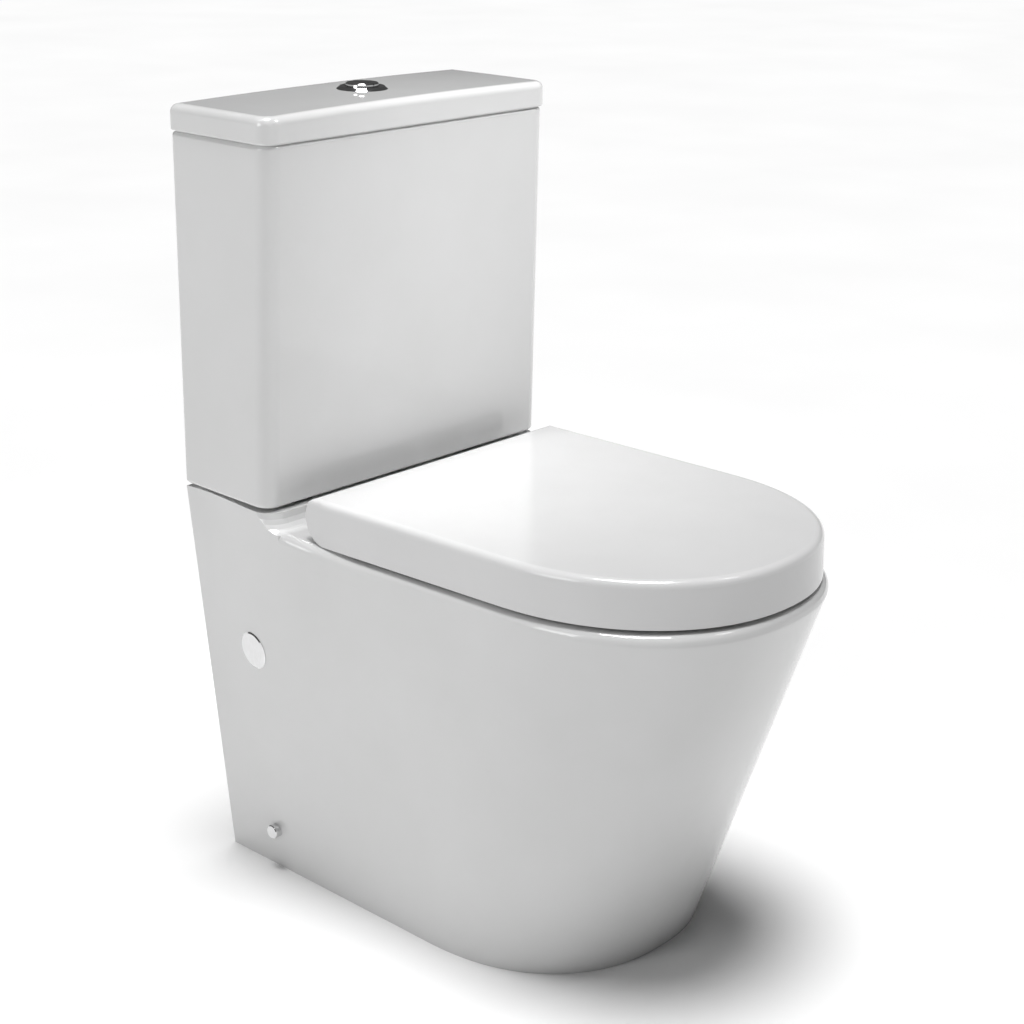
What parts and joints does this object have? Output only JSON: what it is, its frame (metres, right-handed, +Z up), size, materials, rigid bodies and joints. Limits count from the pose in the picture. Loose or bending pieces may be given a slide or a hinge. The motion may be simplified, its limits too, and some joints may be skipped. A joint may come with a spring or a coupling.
{
  "type": "close coupled toilet",
  "caption": "Floor-standing close coupled toilet with a skirted D-shaped pan, rectangular cistern, dual flush button and a wrap-over soft-close seat",
  "frame": {"origin": "on the floor, under the centre of the object's bounding box", "axes": "+Z up, the wall is on +Y, the front of the bowl is on -Y, +X to the right seen from the front"},
  "size_m": [0.4192, 0.6374, 0.8517],
  "materials": {
    "ceramic": "high gloss white glaze",
    "seat_resin": "gloss white moulded resin",
    "chrome_plastic": "chrome plated plastic, mirror",
    "chrome": "polished",
    "steel": "satin stainless",
    "brass": "plain",
    "valve_plastic": "moulded white",
    "blue_plastic": "moulded blue",
    "damper_plastic": "moulded grey",
    "rubber": "matt black",
    "rubber_white": "matt translucent white"
  },
  "bodies": {
    "pan_and_cistern": {"pan_skirt": "ceramic", "pan_deck": "ceramic", "pan_rim": "ceramic", "flush_duct": "ceramic", "bowl_collar": "ceramic", "bowl": "ceramic", "bowl_sump": "ceramic", "trap_rise": "ceramic", "trap_fall": "ceramic", "cistern": "ceramic", "cistern_pads": "rubber", "cistern_bolts": "brass", "cistern_bolt_washers": "rubber", "cistern_plate_washers": "steel", "cistern_wing_nuts": "valve_plastic", "valve_base": "valve_plastic", "valve_base_gasket": "rubber", "valve_back_nut": "valve_plastic", "coupling_seal": "rubber", "valve_tower": "valve_plastic", "fill_valve_body": "valve_plastic", "fill_valve_gasket": "rubber", "fill_valve_nut": "valve_plastic", "fill_valve_head": "blue_plastic", "lever_pin": "steel", "hinge_posts": "chrome", "hinge_pins": "steel", "hinge_studs": "steel", "hinge_stud_washers": "rubber", "hinge_stud_nuts": "valve_plastic", "side_access_caps": "chrome_plastic", "base_screw_caps": "chrome_plastic", "base_screws": "steel", "base_brackets": "valve_plastic"},
    "tank_lid": {"cistern_lid": "ceramic", "button_bezel": "chrome_plastic", "button_nut": "valve_plastic", "full_button_spring": "steel", "half_button_spring": "steel"},
    "full_button": {"full_flush_button": "chrome_plastic", "full_push_rod": "valve_plastic"},
    "half_button": {"half_flush_button": "chrome_plastic", "half_push_rod": "valve_plastic"},
    "full_plate": {"full_push_plate": "blue_plastic"},
    "half_plate": {"half_push_plate": "valve_plastic"},
    "flush_plunger": {"overflow_tube": "valve_plastic", "valve_seal": "rubber"},
    "float": {"fill_float": "valve_plastic", "float_rod": "brass"},
    "lever": {"float_lever": "blue_plastic"},
    "ring": {"seat_ring": "seat_resin", "ring_dampers": "damper_plastic", "ring_buffers": "rubber_white"},
    "lid": {"seat_lid": "seat_resin", "lid_dampers": "damper_plastic", "lid_buffers": "rubber_white"}
  },
  "joints": [
    {"name": "ring_hinge", "type": "hinge", "parent": "pan_and_cistern", "child": "ring", "pos_m": [0, 0.11875, 0.446], "axis": [-1, 0, 0], "range_deg": [0, 92]},
    {"name": "lid_hinge", "type": "hinge", "parent": "ring", "child": "lid", "pos_m": [0, 0.11875, 0.446], "axis": [1, 0, 0], "range_deg": [-92, 0]},
    {"name": "full_button_press", "type": "slide", "parent": "tank_lid", "child": "full_button", "axis": [0, 0, -1], "range_m": [0, 0.006], "stiffness_N_per_m": 400, "springref_m": -0.004, "deforming": ["full_button_spring"]},
    {"name": "half_button_press", "type": "slide", "parent": "tank_lid", "child": "half_button", "axis": [0, 0, -1], "range_m": [0, 0.006], "stiffness_N_per_m": 400, "springref_m": -0.004, "deforming": ["half_button_spring"]},
    {"name": "full_plate_slide", "type": "slide", "parent": "pan_and_cistern", "child": "full_plate", "axis": [0, 0, -1], "range_m": [0, 0.006]},
    {"name": "half_plate_slide", "type": "slide", "parent": "pan_and_cistern", "child": "half_plate", "axis": [0, 0, -1], "range_m": [0, 0.006]},
    {"name": "plunger_lift", "type": "slide", "parent": "pan_and_cistern", "child": "flush_plunger", "axis": [0, 0, 1], "range_m": [0, 0.03]},
    {"name": "float_rise", "type": "slide", "parent": "pan_and_cistern", "child": "float", "axis": [0, 0, 1], "range_m": [0, 0.012]},
    {"name": "lever_turn", "type": "hinge", "parent": "pan_and_cistern", "child": "lever", "pos_m": [0.136, 0.25875, 0.722], "axis": [0, -1, 0], "range_deg": [0, 20.84]},
    {"name": "tank_lid_lift", "type": "slide", "parent": "pan_and_cistern", "child": "tank_lid", "axis": [0, 0, 1], "range_m": [0, 0.25]}
  ],
  "couplings": [
    {"joint": "full_plate_slide", "follows": "full_button_press", "ratio": 1},
    {"joint": "half_plate_slide", "follows": "half_button_press", "ratio": 1},
    {"joint": "plunger_lift", "follows": "full_button_press", "ratio": 5},
    {"joint": "lever_turn", "follows": "float_rise", "rad_per_m": 30.303}
  ]
}
